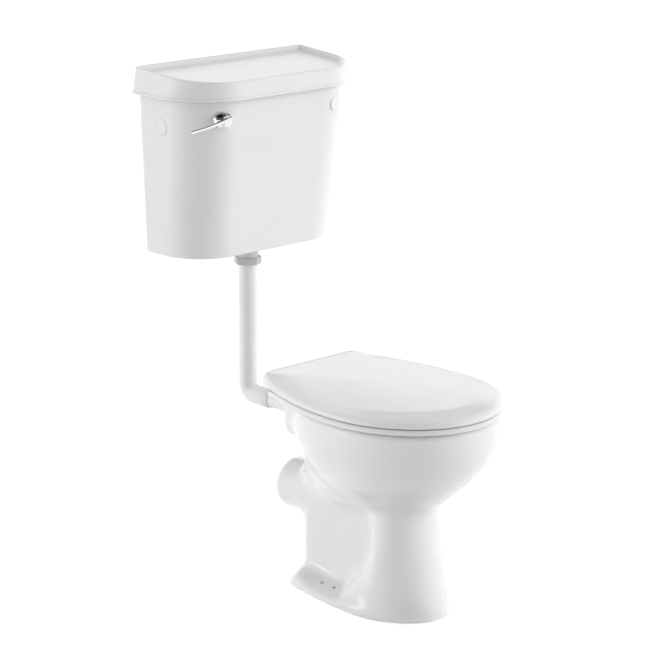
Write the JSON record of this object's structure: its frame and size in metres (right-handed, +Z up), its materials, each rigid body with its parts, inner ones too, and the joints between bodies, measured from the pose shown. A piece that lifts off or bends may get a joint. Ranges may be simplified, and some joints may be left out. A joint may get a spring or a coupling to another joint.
{
  "type": "low level toilet",
  "caption": "Floor standing toilet pan with hinged seat and lid, and a wall hung cistern with lever flush joined to it by a flush bend.",
  "frame": {"origin": "on the floor, on the centre line, in the middle of the pan's four floor screw holes, 0.4 m in front of the wall", "axes": "+Z up, -Y to the front of the pan, +Y to the wall, +X to the right of someone facing the toilet"},
  "size_m": [0.4656, 0.727, 1.014],
  "materials": {
    "ceramic": "white glaze, high gloss",
    "cistern_plastic": "white moulded, glossy",
    "seat_plastic": "white moulded, glossy",
    "pipe_plastic": "white drawn pipe, satin gloss",
    "fitting_plastic": "pale grey moulded",
    "inner_plastic": "off white moulded",
    "chrome": "polished plate",
    "steel": "plain stainless",
    "bracket_plastic": "white moulded",
    "rubber": "pale grey soft rubber"
  },
  "bodies": {
    "fixed": {"pan": "ceramic", "cistern_tank": "cistern_plastic", "side_inlet_plug": "cistern_plastic", "spare_lever_plug": "cistern_plastic", "flush_bend": "pipe_plastic", "pipe_washer": "rubber", "coupling_nut": "fitting_plastic", "siphon_back_nut": "fitting_plastic", "flush_tube": "pipe_plastic", "bend_seal": "rubber", "flush_cone": "rubber", "siphon_body": "inner_plastic", "siphon_washer": "rubber", "lever_bush": "chrome", "lever_back_nut": "fitting_plastic", "float_valve_body": "inner_plastic", "valve_pivot_pin": "steel", "valve_washers": "rubber", "valve_back_nut": "fitting_plastic", "valve_cap": "fitting_plastic", "hinge_brackets": "bracket_plastic", "hinge_pins": "steel", "hinge_bolts": "steel", "hinge_washers": "rubber", "hinge_wing_nuts": "fitting_plastic"},
    "seat": {"seat_ring": "seat_plastic", "seat_buffers": "rubber"},
    "lid": {"seat_lid": "seat_plastic", "lid_buffers": "rubber"},
    "cistern_cover": {"cistern_lid": "cistern_plastic"},
    "lever": {"lever_handle": "chrome", "lever_spindle": "steel", "lever_arm": "inner_plastic", "arm_screw": "steel"},
    "lifter": {"siphon_rod": "steel", "siphon_plate": "inner_plastic", "siphon_flap": "rubber", "rod_nut": "steel", "lift_hook": "steel"},
    "float": {"float_arm": "inner_plastic", "float": "inner_plastic", "float_nut": "fitting_plastic"},
    "plunger": {"valve_plunger": "inner_plastic"}
  },
  "joints": [
    {"name": "seat_hinge", "type": "hinge", "parent": "fixed", "child": "seat", "pos_m": [0, 0.126, 0.42], "axis": [-1, 0, 0], "range_deg": [0, 95]},
    {"name": "lid_hinge", "type": "hinge", "parent": "seat", "child": "lid", "pos_m": [0, 0.126, 0.42], "axis": [1, 0, 0], "range_deg": [-97, 0]},
    {"name": "cistern_cover_lift", "type": "slide", "parent": "fixed", "child": "cistern_cover", "axis": [0, 0, 1], "range_m": [0, 0.12]},
    {"name": "flush_lever_turn", "type": "hinge", "parent": "fixed", "child": "lever", "pos_m": [-0.14343, 0.21816, 0.924], "axis": [-0.3007, -0.9537, 0], "range_deg": [0, 40]},
    {"name": "siphon_lift", "type": "slide", "parent": "fixed", "child": "lifter", "axis": [0, 0, 1], "range_m": [0, 0.035]},
    {"name": "float_swing", "type": "hinge", "parent": "fixed", "child": "float", "pos_m": [0.14131, 0.33, 0.898], "axis": [0, 1, 0], "range_deg": [0, 38]},
    {"name": "valve_close", "type": "slide", "parent": "fixed", "child": "plunger", "axis": [1, 0, 0], "range_m": [0, 0.005]}
  ],
  "couplings": [
    {"joint": "siphon_lift", "follows": "flush_lever_turn", "m_per_rad": 0.04999},
    {"joint": "valve_close", "follows": "float_swing", "m_per_rad": 0.0075}
  ]
}
